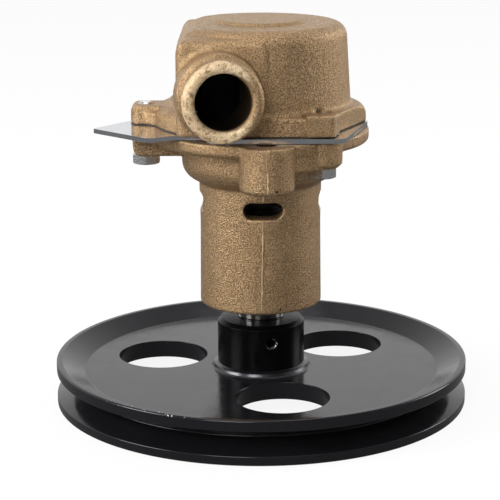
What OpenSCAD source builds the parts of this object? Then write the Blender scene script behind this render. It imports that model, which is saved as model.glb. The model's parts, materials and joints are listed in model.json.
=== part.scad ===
// Belt-driven flexible impeller pump: bronze pump body, polished mounting plate,
// bronze bearing housing, shaft with seals and bearings, and a V-belt pulley.
// Millimetres. The shaft axis is Z, the pulley's lower rim lies at z = 0,
// the two hose ports look to -Y and +Y.

/* [Pulley] */
// Outside diameter of the pulley
pulley_d = 177.8; // [160:0.2:200]
// Width of the pulley across both rims
pulley_w = 18.9; // [17.5:0.1:22]
// Width of the belt groove at the outside
groove_w = 8.8; // [7:0.1:9.5]
// Height of the lower rim's land
lower_land_h = 3.9; // [3:0.1:4.5]
// Depth of the belt groove
groove_depth = 9.7; // [7:0.1:10.5]
// Width of the groove at its root
groove_root_w = 2.8; // [2:0.1:4]
// Width of the flat crest of each rim
crest_w = 2.5; // [1.5:0.1:4]
// Chamfer on the rim edges
rim_break = 0.5; // [0.2:0.1:1]
// Height of the web's underside
web_z = 6.1; // [5:0.1:7]
// Thickness of the web
web_t = 7.6; // [6:0.1:9]
// Radius where the upper dish meets the web
dish_r = 76.7; // [72:0.1:78]
// Radius where the lower dish meets the web
under_dish_r = 75; // [72:0.1:78]
// Number of lightening holes in the web
web_hole_count = 3; // [2:1:4]
// Radius of each lightening hole
web_hole_r = 19.6; // [12:0.1:21]
// Radius of the circle of lightening holes
web_hole_circle_r = 46; // [43:0.1:50]
// Direction of the first lightening hole in degrees
web_hole_angle = -79.2; // [-120:0.1:0]

/* [Pulley hub] */
// Outside radius of the hub
hub_r = 18.75; // [17.5:0.05:20]
// Height of the hub above the web
hub_h = 22.1; // [18:0.1:24]
// Chamfer at the hub's top edge
hub_chamfer = 1.6; // [0.8:0.1:2.5]
// Radius of the hub's spigot in the web
spigot_r = 15.9; // [14.5:0.1:17]
// Length of the spigot below the web
spigot_drop = 1.1; // [0.5:0.1:2]
// Leg of the weld round the hub
weld_leg = 2.9; // [2:0.1:4]
// Height of the set screw above the web
set_screw_h = 14.3; // [10:0.1:16]
// Radius of the set screw
set_screw_r = 2.5; // [2:0.05:3.2]
// Direction of the set screw in degrees
set_screw_angle = -75.8; // [-120:0.1:-60]
// Side of the square pulley key
key_w = 4.76; // [4:0.01:6]
// Length of the pulley key
key_l = 19; // [14:0.5:22]

/* [Shaft] */
// Radius of the shaft in the pulley and the bearings
shaft_r = 9.525; // [9.3:0.005:9.8]
// Radius of the relieved stretch above the pulley
relief_r = 9.15; // [8.9:0.01:9.25]
// Radius of the shaft in the seal and the impeller
nose_r = 7.95; // [7.6:0.01:8.2]
// Chamfer at both ends of the shaft
shaft_chamfer = 0.8; // [0.4:0.1:1.2]
// Depth of the retaining ring grooves
ring_groove_depth = 0.6; // [0.4:0.05:0.8]
// Thickness of the shaft's retaining rings
shaft_ring_t = 1.25; // [1:0.05:1.4]
// Height of the shaft's retaining rings over the shaft
shaft_ring_h = 2.2; // [1.5:0.1:2.6]

/* [Bearing housing] */
// Gap between the pulley hub and the housing
hub_gap = 7.5; // [4:0.1:12]
// Height of the bearing housing
housing_h = 75.9; // [68:0.1:84]
// Radius of the barrel at its lower end
barrel_r = 26; // [25.5:0.05:27]
// Loss of radius at the barrel's waist
barrel_waist = 0.35; // [0:0.05:0.5]
// Height of the barrel's waist as a share of the housing's height
waist_share = 0.47; // [0.26:0.01:0.5]
// Height of the bell's lower edge as a share of the housing's height
bell_share = 0.71; // [0.7:0.002:0.73]
// Radius of the bell under the flange
bell_r = 33.2; // [32:0.1:35]
// Rounding of the bell's lower edge
bell_round = 8; // [5:0.1:8.5]
// Fillet where the barrel meets the bell
bell_fillet = 1.4; // [0.8:0.1:2]
// Radius of the housing's round flange
disc_r = 46; // [45.5:0.1:47]
// Thickness of the housing's round flange
disc_t = 5.3; // [4:0.1:6]
// Rounding of the flange's lower edge
disc_round = 1.6; // [0.8:0.1:2.2]
// Depth of the screw lugs below the gasket face
lug_h = 11.3; // [9:0.1:12.5]

/* [Drain slots] */
// Number of drain slots round the barrel
slot_count = 4; // [3:1:4]
// Height of each drain slot as a share of the housing's height
slot_h_share = 0.091; // [0.066:0.001:0.093]
// Length of each drain slot along the barrel's girth
slot_l = 16.6; // [10:0.1:18]
// Height of the slots' middle as a share of the housing's height
slot_share = 0.5863; // [0.584:0.0001:0.592]
// Direction of the first drain slot in degrees
slot_angle = -87.3; // [-90:0.1:-80]

/* [Mounting bosses] */
// Radius of each mounting boss
boss_r = 11.25; // [9:0.05:12]
// Depth of the bosses below the gasket face
boss_h = 19.2; // [14:0.1:21]
// Distance of the bosses to the right of the shaft
boss_x = 2.6; // [0:0.1:5]
// Distance of each boss in front of and behind the shaft
boss_y = 41.3; // [41:0.1:43]
// Radius of the mounting bolt holes
boss_hole_r = 4; // [3.2:0.05:4.2]
// Rounding of the bosses' rims
boss_round = 1; // [0.4:0.1:1.6]
// Half width of the web from each boss to its screw lug
boss_web_half_w = 6.5; // [4:0.1:7]

/* [Flange screws] */
// Distance of the left screw from the shaft
left_screw_x = 48.3; // [48:0.1:50]
// Distance of the right screws to the right of the shaft
right_screw_x = 25.2; // [25:0.1:27]
// Distance of the right screws in front of and behind the shaft
right_screw_y = 31.4; // [31:0.1:32]
// Radius of the flange screws
screw_r = 3.1; // [2.5:0.05:3.2]
// Width of the hexagon heads across the flats
head_af = 11.1; // [9:0.1:12]
// Height of the hexagon heads
head_h = 4.1; // [3:0.1:5]
// Chamfer on the hexagon heads
head_chamfer = 0.7; // [0.4:0.1:1]
// Reach of the left lugs beyond their screw
left_lug_end = 6; // [5:0.1:7]
// Slope of the housing's left lug towards its lower edge
left_lug_draft = 0.9; // [0:0.1:1.2]
// Half width of the left lugs
left_lug_half_w = 7.6; // [6.5:0.1:8.5]
// Corner rounding of the housing's left lug
left_lug_round = 2.6; // [1:0.1:4]
// Corner rounding of the pump body's left lug
body_lug_round = 4; // [1:0.1:5]
// Fillet in plan where the left lugs meet the flanges
left_lug_fillet = 8; // [4:0.1:10]
// Radius of the right lugs on the housing
right_lug_r = 8.3; // [7.5:0.1:8.6]
// Chamfer on the lower edge of the right lugs
lug_chamfer = 1.9; // [0.8:0.1:2.2]
// Radius of the right lugs on the pump body
body_lug_r = 7; // [6.5:0.1:8]
// Height of the right lugs on the pump body
body_lug_h = 8.8; // [7.5:0.1:10]

/* [Mounting plate] */
// Thickness of the polished mounting plate
plate_t = 1.9; // [1.5:0.1:3]
// Thickness of each flange gasket
gasket_t = 0.25; // [0.2:0.05:0.8]
// Reach of the plate's tab to the left of the shaft
tab_x = 69.6; // [66:0.1:76]
// Distance of the tab's corner in front of the shaft
tab_y = 14.9; // [10:0.1:16]
// Corner rounding of the tab
tab_round = 1.2; // [0.5:0.1:3]
// Direction of the tab's front edge in degrees
tab_angle = -43.8; // [-48:0.1:-40]
// Turn of the tab's rear edge from its front edge in degrees
tab_corner = 94.4; // [86:0.1:100]
// Length of the tab's rear edge
tab_rear_l = 49; // [40:0.1:52]
// Distance of the front notch's centre to the left of the shaft
notch_x = 29.5; // [26:0.1:32]
// Distance of the front notch's centre in front of the shaft
notch_y = 49; // [48:0.1:52]
// Radius of the front notch
notch_r = 17.6; // [16:0.1:18]
// Distance of the plate's straight front and rear edges from the shaft
plate_edge_y = 41.7; // [41:0.1:43]
// Distance of the plate's right corners to the right of the shaft
plate_corner_x = 34.1; // [33:0.1:36]
// Reach of the plate to the right of the shaft
plate_right_x = 45.6; // [45:0.1:47]
// Corner rounding of the plate
plate_round = 4; // [2:0.1:5]
// Radial gap of the plate's centre hole to the impeller sleeve
plate_hole_gap = 1.5; // [1:0.1:2]

/* [Pump body] */
// Height of the pump body above its gasket
body_h = 41.2; // [40.8:0.1:46]
// Radius of the cup at the top
cup_top_r = 36.6; // [36:0.1:37.5]
// Radius of the cup at the flange
cup_base_r = 38.7; // [38:0.1:39]
// Rounding of the cup's top edge
cup_round = 5.6; // [2:0.1:6.5]
// Distance of the body's flat left wall from the shaft
left_wall_x = 34; // [34:0.1:36]
// Radius of the body's flange
ring_r = 44.8; // [44:0.1:45.4]
// Height of the body's flange
ring_h = 7.8; // [7:0.1:9.5]
// Rounding of the flange's upper edge
ring_round = 4.6; // [3:0.1:5]
// Fillet where the cup meets the flange
ring_fillet = 2.2; // [1:0.1:3]
// Distance of the flange's straight front and rear edges from the shaft
ring_edge_y = 39.3; // [39:0.1:39.7]
// Distance of the flange's right corners to the right of the shaft
ring_corner_x = 26.3; // [25:0.1:30]
// Reach of the flange's right edges at the middle
ring_right_x = 45.5; // [45:0.1:48]
// Radius of the round pad on the top
pad_r = 18.3; // [15:0.1:20]
// Height of the round pad
pad_h = 1.3; // [0.5:0.1:2]
// Radius of the impeller chamber
chamber_r = 30.5; // [30:0.05:31]
// Depth of the impeller chamber above the mounting plate
chamber_h = 36.5; // [36:0.1:37]

/* [Ports] */
// Half length of the port block in front of and behind the shaft
block_y = 37.5; // [37:0.1:38.5]
// Distance of the port block's right side to the right of the shaft
block_x = 2.7; // [1:0.1:4]
// Height of the port block above the gasket
block_h = 38.3; // [37.5:0.1:39]
// Rounding of the port block's edges
block_round = 5.5; // [3:0.1:7]
// Rounding of the port block's upright left corners
block_corner_round = 3; // [1:0.1:5]
// Height of the port axis above the gasket
port_h = 17.15; // [17.05:0.05:18]
// Distance of the port's mouth to the left of the shaft
port_x = 14.2; // [13:0.1:15]
// Distance of the port's mouth from the shaft's front plane
port_y = 58; // [55:0.1:62]
// Turn of each port away from the straight line in degrees
port_angle = 9; // [0:0.5:9]
// Radius of the port's bore
port_bore_r = 11.3; // [10:0.1:11.8]
// Radius of the hose bead at the mouth
bead_r = 16.5; // [16:0.1:17]
// Radius of the nozzle between the bead and the collar
neck_r = 15.2; // [14.6:0.1:15.6]
// Width of the hose bead
bead_w = 5.2; // [4.8:0.1:6]
// Rounding of the hose bead towards the mouth
bead_round = 2.6; // [2:0.1:2.8]
// Length of the hose bead at its full radius
bead_land = 1.6; // [1.2:0.1:1.8]
// Length of the nozzle's neck
neck_l = 7.5; // [6:0.1:9]
// Radius of the collar at the nozzle's root
collar_r = 17.4; // [17:0.1:19.3]
// Rounding of the collar's rim
collar_round = 1.4; // [0.6:0.1:2]
// Rounding of the port's mouth
mouth_round = 2.3; // [0.8:0.1:2.4]

/* [Impeller] */
// Number of vanes
vane_count = 8; // [6:1:10]
// Radius of the rubber hub
impeller_hub_r = 15; // [14:0.1:16]
// Thickness of each vane
vane_t = 3; // [2.4:0.1:3.4]
// Radius of the bulb at each vane's tip
vane_tip_r = 2.2; // [1.8:0.1:2.5]
// Clearance of the rubber to the chamber
vane_gap = 0.45; // [0.35:0.05:0.8]
// Outside radius of the brass insert
insert_r = 10.8; // [10:0.1:11.5]
// Length of the brass insert
insert_l = 28.4; // [26:0.1:29]
// Side of the square impeller key
impeller_key_w = 3.2; // [2.5:0.1:4]
// Thickness of the wear plate at the chamber's end
wear_t = 1.2; // [0.8:0.1:1.5]
// Greatest thickness of the cam
cam_t = 3.5; // [2.5:0.1:4]
// Half width of the cam between the ports
cam_half_w = 9; // [7:0.1:10]

/* [Seals and bearings] */
// Outside radius of the bearings
bearing_r = 20; // [19.5:0.05:20.5]
// Width of each bearing as a share of the housing's height
bearing_share = 0.158; // [0.15:0.001:0.16]
// Length of the spacers between the bearings as a share of the housing's height
spacer_share = 0.08; // [0.075:0.001:0.085]
// Number of balls in each bearing
ball_count = 8; // [6:1:9]
// Radius of the balls as a share of the bearings' width
ball_share = 0.2815; // [0.25:0.0005:0.29]
// Depth of the lower bearing in the housing as a share of the housing's height
recess_share = 0.046; // [0.043:0.001:0.05]
// Thickness of the housing's retaining ring
housing_ring_t = 1.75; // [1.5:0.05:2]
// Outside radius of the lip seal
lip_seal_r = 17.5; // [16.5:0.1:18]
// Width of the lip seal as a share of the housing's height
lip_seal_share = 0.063; // [0.058:0.001:0.065]
// Radius of the slinger
slinger_r = 12.8; // [11:0.1:14]
// Radius of the seal seat's pocket
seat_pocket_r = 14.5; // [13.8:0.1:15]
// Radius of the seal chamber
seal_chamber_r = 24; // [21:0.1:26]

/* [Hidden] */

// Shared values
round_fn = 96;
small_fn = 48;
arc_steps = 6;
overrun = 1;
far = 200;
fit_gap = 0.05;
running_gap = 0.3;

// Levels along the shaft
web_top = web_z + web_t;
hub_top = web_top + hub_h;
hub_bottom = web_z - spigot_drop;
housing_z = hub_top + hub_gap;
face_z = housing_z + housing_h;
plate_z = face_z + gasket_t;
plate_top = plate_z + plate_t;
body_z = plate_top + gasket_t;
body_top = body_z + body_h;
port_z = body_z + port_h;
chamber_top = plate_top + chamber_h;
wear_z = chamber_top - wear_t;
bearing_w = housing_h * bearing_share;
lower_bearing_z = housing_z + housing_h * recess_share;
spacer_z = lower_bearing_z + bearing_w;
upper_bearing_z = spacer_z + housing_h * spacer_share;
bearing_top = upper_bearing_z + bearing_w;
slot_z = housing_z + housing_h * slot_share;
slot_h = housing_h * slot_h_share;
bell_z = housing_z + housing_h * bell_share;

// Pulley section
pulley_r = pulley_d / 2;
groove_top = lower_land_h + groove_w;
groove_mid = lower_land_h + groove_w / 2;
groove_r = pulley_r - groove_depth;
crest_r = pulley_r - crest_w;

// Shaft lengths
shaft_z = hub_bottom + rim_break;
relief_z = hub_top + running_gap;
journal_z = lower_bearing_z - shaft_ring_t - shaft_chamfer;
upper_ring_z = bearing_top;
nose_z = slot_z - slot_h / 2 + running_gap;
insert_z = body_z + running_gap * 2;
insert_top = insert_z + insert_l;
shaft_end = 2;
shaft_top = insert_top + shaft_ring_t + shaft_end;
rubber_z = plate_top + vane_gap;
rubber_top = wear_z - vane_gap;

// Seals
lip_z = bearing_top + shaft_ring_t + shaft_chamfer;
lip_stop_z = lip_z + housing_h * lip_seal_share;
drain_land = 0.85;
drain_top = slot_z + slot_h / 2 + drain_land;
seat_z = bell_z + shaft_chamfer;
seat_t = 5.4;
seat_r = 13;
cup_lip = 1.1;
seat_top = seat_z + cup_lip + seat_t;
seal_chamber_z = bell_z + bell_round / 2;
carbon_z = seat_top + running_gap;
carbon_t = 3;
carbon_r = 12.1;
case_r = 13;
case_t = 0.8;
case_lap = 1;
case_drop = 3.15;
case_top = face_z - case_drop;
fold_shares = [0.55, 0.7, 0.85];
fold_depth = 0.9;
sleeve_r = 10.4;
seat_bore_gap = 1.2;
lip_t_share = 0.19;
lip_t = housing_h * lip_seal_share * lip_t_share;
lip_step = 2.5;

// Bearing rings
ball_r = bearing_w * ball_share;
track_gap = 0.12;
pitch_r = (shaft_r + bearing_r) / 2;
race_land = 1.25;
inner_land_r = pitch_r - ball_r + race_land;
outer_land_r = pitch_r + ball_r - race_land;
groove_round = ball_r + track_gap;
race_break = 0.4;
cage_t = 2.6;
cage_back = 0.9;
shield_t = 0.8;
shield_inset = 0.3;

// Slinger
slinger_t = 2.6;
slinger_rim_t = 1.8;

// Vanes: how far each trails its root when free, and how much more on the cam
free_lag = 13;
cam_lag = 21;
root_share = 0.8;
probe_share = 0.01;

// Weld section in shares of its leg, from the hub's foot outwards and up
weld_shares = [[0, 0], [1, 0], [0.78, 0.22], [0.66, 0.5], [0.62, 0.62], [0.3, 0.7], [0, 0.84]];

// Rounding of the bell's lower edge starts where the wall slopes
bell_from = -80;

// Share of the flange's height up to which the left lug's fillets reach
fillet_share = 0.7;

// Cam screw
cam_screw_r = 2;

// Where the flange screws stand
screw_at = [[-left_screw_x, 0], [right_screw_x, -right_screw_y], [right_screw_x, right_screw_y]];
right_screw_at = [screw_at[1], screw_at[2]];
hole_gap = 0.3;
head_r = head_af / sqrt(3);
screw_top = body_z + body_lug_h - hole_gap;
lug_z = face_z - lug_h;

// Points of an arc round c from angle a0 to a1
function arc(c, r, a0, a1) =
  [for (i = [0:arc_steps]) let (a = a0 + (a1 - a0) * i / arc_steps)
    [c[0] + r * cos(a), c[1] + r * sin(a)]];

// Points of the rounding of radius r at corner b on the way from a to c
function corner(a, b, c, r) =
  let (u = (a - b) / norm(a - b),
    v = (c - b) / norm(c - b),
    half = acos(u * v) / 2,
    o = b + (u + v) / norm(u + v) * r / sin(half),
    p = b + u * r / tan(half) - o,
    q = b + v * r / tan(half) - o,
    start = atan2(p[1], p[0]),
    turn = (atan2(q[1], q[0]) - start + 540) % 360 - 180)
  arc(o, r, start, start + turn);

// Ring of rectangular section
module tube(r_in, r_out, z0, z1) {
  translate([0, 0, z0])
    difference() {
      cylinder(r = r_out, h = z1 - z0, $fn = round_fn);
      translate([0, 0, -overrun])
        cylinder(r = r_in, h = z1 - z0 + 2 * overrun, $fn = round_fn);
    }
}

// Upright cylinder from z0 to z1
module post(r, z0, z1, at = [0, 0]) {
  translate([at[0], at[1], z0])
    cylinder(r = r, h = z1 - z0, $fn = small_fn);
}

// Round plate from z0 to z1
module post_round(r, z0, z1) {
  translate([0, 0, z0])
    cylinder(r = r, h = z1 - z0, $fn = round_fn);
}

// Rectangle with rounded corners between two points
module rounded_rect(p, q, r) {
  polygon(concat(
    arc([q[0] - r, q[1] - r], r, 0, 90),
    arc([p[0] + r, q[1] - r], r, 90, 180),
    arc([p[0] + r, p[1] + r], r, 180, 270),
    arc([q[0] - r, p[1] + r], r, 270, 360)));
}

// Pulley

module web_holes() {
  for (i = [0:web_hole_count - 1])
    rotate([0, 0, web_hole_angle + i * 360 / web_hole_count])
      translate([web_hole_circle_r, 0, -overrun])
        cylinder(r = web_hole_r, h = pulley_w + 2 * overrun, $fn = round_fn);
}

module pulley_upper_disc() {
  color("dimgray")
    difference() {
      rotate_extrude($fn = round_fn)
        polygon([
          [spigot_r, groove_mid],
          [groove_r, groove_mid],
          [groove_r, groove_mid + groove_root_w / 2],
          [pulley_r, groove_top],
          [pulley_r, pulley_w - rim_break],
          [pulley_r - rim_break, pulley_w],
          [crest_r, pulley_w],
          [dish_r, web_top],
          [spigot_r, web_top]]);
      web_holes();
    }
}

module pulley_lower_disc() {
  color("dimgray")
    difference() {
      rotate_extrude($fn = round_fn)
        polygon([
          [spigot_r, web_z],
          [under_dish_r, web_z],
          [crest_r, 0],
          [pulley_r - rim_break, 0],
          [pulley_r, rim_break],
          [pulley_r, lower_land_h],
          [groove_r, groove_mid - groove_root_w / 2],
          [groove_r, groove_mid],
          [spigot_r, groove_mid]]);
      web_holes();
    }
}

module set_screw_axis() {
  rotate([0, 0, set_screw_angle])
    translate([0, 0, web_top + set_screw_h])
      rotate([0, 90, 0])
        children();
}

module key_slot(half_w, r0, r1, z0, z1) {
  rotate([0, 0, set_screw_angle + 180])
    translate([r0, -half_w, z0])
      cube([r1 - r0, 2 * half_w, z1 - z0]);
}

module pulley_hub() {
  color("dimgray")
    difference() {
      rotate_extrude($fn = round_fn)
        polygon([
          [shaft_r, hub_bottom],
          [spigot_r - rim_break, hub_bottom],
          [spigot_r, hub_bottom + rim_break],
          [spigot_r, web_top],
          [hub_r, web_top],
          [hub_r, hub_top - hub_chamfer],
          [hub_r - hub_chamfer, hub_top],
          [shaft_r + hub_chamfer, hub_top],
          [shaft_r, hub_top - hub_chamfer]]);
      set_screw_axis()
        cylinder(r = set_screw_r, h = hub_r + overrun, $fn = small_fn);
      key_slot(key_w / 2, 0, shaft_r + key_w / 2, hub_bottom - overrun, hub_top + overrun);
    }
}

module hub_weld() {
  color("dimgray")
    rotate_extrude($fn = round_fn)
      polygon([for (w = weld_shares) [hub_r, web_top] + w * weld_leg]);
}

module set_screw() {
  color("black")
    set_screw_axis()
      difference() {
        translate([0, 0, shaft_r])
          cylinder(r = set_screw_r, h = hub_r - shaft_r - hub_chamfer / 2, $fn = small_fn);
        translate([0, 0, hub_r - set_screw_r * 2])
          cylinder(r = set_screw_r / 2, h = set_screw_r * 2 + overrun, $fn = 6);
      }
}

module pulley_key() {
  color("silver")
    key_slot(key_w / 2, shaft_r - key_w / 2, shaft_r + key_w / 2,
      hub_top - key_l - hub_chamfer, hub_top - hub_chamfer);
}

// Shaft

module ring_groove(r, z) {
  tube(r - ring_groove_depth, r + overrun, z, z + shaft_ring_t);
}

module shaft() {
  color("silver")
    difference() {
      rotate_extrude($fn = round_fn)
        polygon([
          [0, shaft_z],
          [shaft_r - shaft_chamfer, shaft_z],
          [shaft_r, shaft_z + shaft_chamfer],
          [shaft_r, relief_z],
          [relief_r, relief_z + shaft_r - relief_r],
          [relief_r, journal_z + relief_r - shaft_r],
          [shaft_r, journal_z],
          [shaft_r, nose_z],
          [nose_r, nose_z],
          [nose_r, shaft_top - shaft_chamfer],
          [nose_r - shaft_chamfer, shaft_top],
          [0, shaft_top]]);
      ring_groove(shaft_r, lower_bearing_z - shaft_ring_t);
      ring_groove(shaft_r, upper_ring_z);
      ring_groove(nose_r, insert_top);
      key_slot(key_w / 2, shaft_r - key_w / 2, shaft_r + overrun,
        hub_top - key_l - hub_chamfer, hub_top - hub_chamfer);
      impeller_key_way(nose_r - impeller_key_w / 2, nose_r + overrun);
    }
}

// Open retaining ring with the gap turned to -X
module open_ring(r_in, r_out, z, t) {
  difference() {
    tube(r_in, r_out, z, z + t);
    translate([-far / 2 - r_in / 2, 0, z + t / 2])
      cube([far, r_in / 2, t + 2 * overrun], center = true);
  }
}

module shaft_rings() {
  color("slategray") {
    open_ring(shaft_r - ring_groove_depth, shaft_r + shaft_ring_h,
      lower_bearing_z - shaft_ring_t, shaft_ring_t);
    open_ring(shaft_r - ring_groove_depth, shaft_r + shaft_ring_h, upper_ring_z, shaft_ring_t);
  }
}

module housing_ring() {
  color("slategray")
    open_ring(bearing_r - shaft_ring_h, bearing_r + shaft_ring_h / 2,
      lower_bearing_z - housing_ring_t, housing_ring_t);
}

// Bearing housing

module drain_slots() {
  for (i = [0:slot_count - 1])
    rotate([0, 0, slot_angle + i * 360 / slot_count])
      translate([slinger_r, 0, slot_z])
        rotate([0, 90, 0]) {
          translate([0, (slot_l - slot_h) / 2, 0])
            cylinder(r = slot_h / 2, h = barrel_r, $fn = small_fn);
          translate([0, -(slot_l - slot_h) / 2, 0])
            cylinder(r = slot_h / 2, h = barrel_r, $fn = small_fn);
          translate([-slot_h / 2, -(slot_l - slot_h) / 2, 0])
            cube([slot_h, slot_l - slot_h, barrel_r]);
        }
}

module housing_outside() {
  rotate_extrude($fn = round_fn)
    polygon(concat(
      [[0, housing_z],
      [barrel_r - rim_break, housing_z],
      [barrel_r, housing_z + rim_break],
      [barrel_r - barrel_waist, housing_z + housing_h * waist_share]],
      arc([barrel_r + bell_fillet, bell_z - bell_fillet], bell_fillet, 180, 90),
      arc([bell_r - bell_round, bell_z + bell_round], bell_round, bell_from, 0),
      arc([bell_r + bell_fillet, face_z - disc_t - bell_fillet], bell_fillet, 180, 90),
      arc([disc_r - disc_round, face_z - disc_t + disc_round], disc_round, -90, 0),
      [[disc_r, face_z],
      [0, face_z]]));
}

module boss_at(y) {
  translate([boss_x, y, 0])
    rotate_extrude($fn = small_fn)
      polygon(concat(
        [[0, face_z - boss_h],
        [boss_r - boss_round, face_z - boss_h],
        [boss_r, face_z - boss_h + boss_round]],
        arc([boss_r - boss_round, face_z - boss_round], boss_round, 0, 90),
        [[0, face_z]]));
  translate([boss_x - boss_r, min(y, 0), face_z - boss_h + boss_round])
    cube([2 * boss_r, abs(y), boss_h - 2 * boss_round]);
}

// Web from the boss on side s to the screw lug beside it
module boss_web(s) {
  way = [boss_x - right_screw_x, s * (boss_y - right_screw_y)];
  translate([right_screw_x, s * right_screw_y, lug_z])
    rotate([0, 0, atan2(way[1], way[0])])
      translate([0, -boss_web_half_w, 0])
        cube([norm(way), 2 * boss_web_half_w, lug_h]);
}

// Plan of a left lug
module left_lug_shape(r) {
  rounded_rect([-left_screw_x - left_lug_end, -left_lug_half_w],
    [-bell_r + r, left_lug_half_w], r);
}

// Centre of the fillet between a left lug's rear side and a round flange of radius r
function fillet_centre(r) =
  [-sqrt((r + left_lug_fillet) ^ 2 - (left_lug_half_w + left_lug_fillet) ^ 2),
    left_lug_half_w + left_lug_fillet];

// Plan of a left lug whose fillets run into a round flange of radius r
module filleted_lug_shape(r) {
  c = fillet_centre(r);
  swing = atan2(-c[1], -c[0]);
  end_x = -left_screw_x - left_lug_end;
  lug_round = min(body_lug_round, c[0] - end_x);
  polygon(concat(
    arc(c, left_lug_fillet, swing, -90),
    arc([end_x + lug_round, left_lug_half_w - lug_round], lug_round, 90, 180),
    arc([end_x + lug_round, lug_round - left_lug_half_w], lug_round, 180, 270),
    arc([c[0], -c[1]], left_lug_fillet, 90, -swing),
    [[-bell_r, 0]]));
}

// The same plan without the lug's end
module left_lug_fillets(r) {
  c = fillet_centre(r);
  for (m = [0, 1])
    mirror([0, m])
      polygon(concat(
        [[-bell_r, 0]],
        [[c[0], 0]],
        arc(c, left_lug_fillet, -90, atan2(-c[1], -c[0]))));
}

// Left lug from z0 to z1, its end sloping by the draft towards z0
module left_lug(z0, z1, plan_round, top_round, low_round, draft) {
  end_x = -left_screw_x - left_lug_end;
  intersection() {
    translate([0, 0, z0])
      linear_extrude(height = z1 - z0)
        left_lug_shape(plan_round);
    translate([0, far / 2, 0])
      rotate([90, 0, 0])
        linear_extrude(height = far)
          polygon(concat(
            [[0, z0]],
            [[0, z1]],
            arc([end_x + top_round, z1 - top_round], top_round, 90, 180),
            arc([end_x + draft + low_round, z0 + low_round], low_round, 180, 270)));
  }
}

module housing_bores() {
  post(bearing_r, housing_z - overrun, bearing_top);
  post(bearing_r + shaft_ring_h / 2, lower_bearing_z - housing_ring_t, lower_bearing_z);
  post(lip_seal_r, bearing_top - overrun, lip_stop_z);
  post(lip_seal_r - shaft_chamfer, lip_stop_z - overrun, drain_top);
  post(seat_r - seat_bore_gap, drain_top - overrun, face_z);
  post(seat_pocket_r, seat_z, face_z);
  post(seal_chamber_r, seal_chamber_z, face_z + overrun);
}

module bearing_housing() {
  color("peru")
    difference() {
      union() {
        difference() {
          union() {
            housing_outside();
            for (s = [-1, 1]) {
              boss_at(s * boss_y);
              boss_web(s);
            }
            translate([0, 0, face_z - disc_t])
              linear_extrude(height = disc_t)
                left_lug_fillets(disc_r);
          }
          housing_bores();
        }
        left_lug(lug_z, face_z, left_lug_round, rim_break, left_lug_round, left_lug_draft);
        for (p = right_screw_at)
          translate([p[0], p[1], 0])
            rotate_extrude($fn = small_fn)
              polygon([
                [0, lug_z],
                [right_lug_r - lug_chamfer, lug_z],
                [right_lug_r, lug_z + lug_chamfer],
                [right_lug_r, face_z],
                [0, face_z]]);
      }
      drain_slots();
      for (p = screw_at)
        post(screw_r + hole_gap, lug_z - overrun, face_z + overrun, p);
      for (y = [-boss_y, boss_y])
        post(boss_hole_r, face_z - boss_h - overrun, face_z + overrun, [boss_x, y]);
    }
}

// Mounting plate and gaskets

module flange_shape(r, lug_r) {
  intersection() {
    circle(r = r, $fn = round_fn);
    ring_bounds();
  }
  for (p = right_screw_at)
    translate(p)
      circle(r = lug_r, $fn = small_fn);
  filleted_lug_shape(r);
}

// Straight front, rear and right edges of the pump body's flange
module ring_bounds() {
  polygon([
    [-far, -ring_edge_y],
    [ring_corner_x, -ring_edge_y],
    [ring_right_x, 0],
    [ring_corner_x, ring_edge_y],
    [-far, ring_edge_y]]);
}

module screw_holes_2d(gap) {
  for (p = screw_at)
    translate(p)
      circle(r = screw_r + gap, $fn = small_fn);
}

// Outline of the mounting plate with its tab and its front notch
module plate_shape() {
  tip = [-tab_x, -tab_y];
  way = [cos(tab_angle), sin(tab_angle)];
  side = [-way[1], way[0]];
  rear = tip + tab_rear_l * [cos(tab_angle + tab_corner), sin(tab_angle + tab_corner)];
  notch = [-notch_x, -notch_y];
  reach = notch_r + plate_round;
  // centre of the rounding between the tab's front edge and the notch
  from = tip + side * plate_round - notch;
  left_o = from + notch + way * (-from * way - sqrt((from * way) ^ 2 - from * from + reach ^ 2));
  // centre of the rounding between the notch and the front edge
  right_dy = plate_round - plate_edge_y + notch_y;
  right_o = notch + [sqrt(reach ^ 2 - right_dy ^ 2), right_dy];
  left_a = atan2(left_o[1] - notch[1], left_o[0] - notch[0]);
  right_a = atan2(right_dy, right_o[0] - notch[0]);
  front = [plate_corner_x, -plate_edge_y];
  back = [plate_corner_x, plate_edge_y];
  right = [plate_right_x, 0];
  polygon(concat(
    corner(rear, tip, tip + way, tab_round),
    arc(left_o, plate_round, tab_angle - 90, left_a - 180),
    arc(notch, notch_r, left_a, right_a),
    arc(right_o, plate_round, right_a - 180, -90),
    corner(right_o, front, right, plate_round),
    corner(front, right, back, plate_round),
    corner(right, back, [-block_x, plate_edge_y], plate_round),
    [[-block_x, plate_edge_y]],
    [rear]));
}

module housing_gasket() {
  color("black")
    translate([0, 0, face_z])
      linear_extrude(height = gasket_t)
        difference() {
          intersection() {
            plate_shape();
            union() {
              circle(r = disc_r - gasket_t, $fn = round_fn);
              filleted_lug_shape(disc_r - gasket_t);
            }
          }
          circle(r = seal_chamber_r, $fn = round_fn);
          screw_holes_2d(hole_gap);
        }
}

module mount_plate() {
  color("gainsboro")
    translate([0, 0, plate_z])
      linear_extrude(height = plate_t)
        difference() {
          plate_shape();
          circle(r = sleeve_r + plate_hole_gap, $fn = round_fn);
          screw_holes_2d(hole_gap);
        }
}

module body_gasket() {
  color("black")
    translate([0, 0, plate_top])
      linear_extrude(height = gasket_t)
        difference() {
          flange_shape(ring_r - gasket_t, body_lug_r - gasket_t);
          circle(r = chamber_r, $fn = round_fn);
          screw_holes_2d(hole_gap);
        }
}

// Pump body

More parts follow.
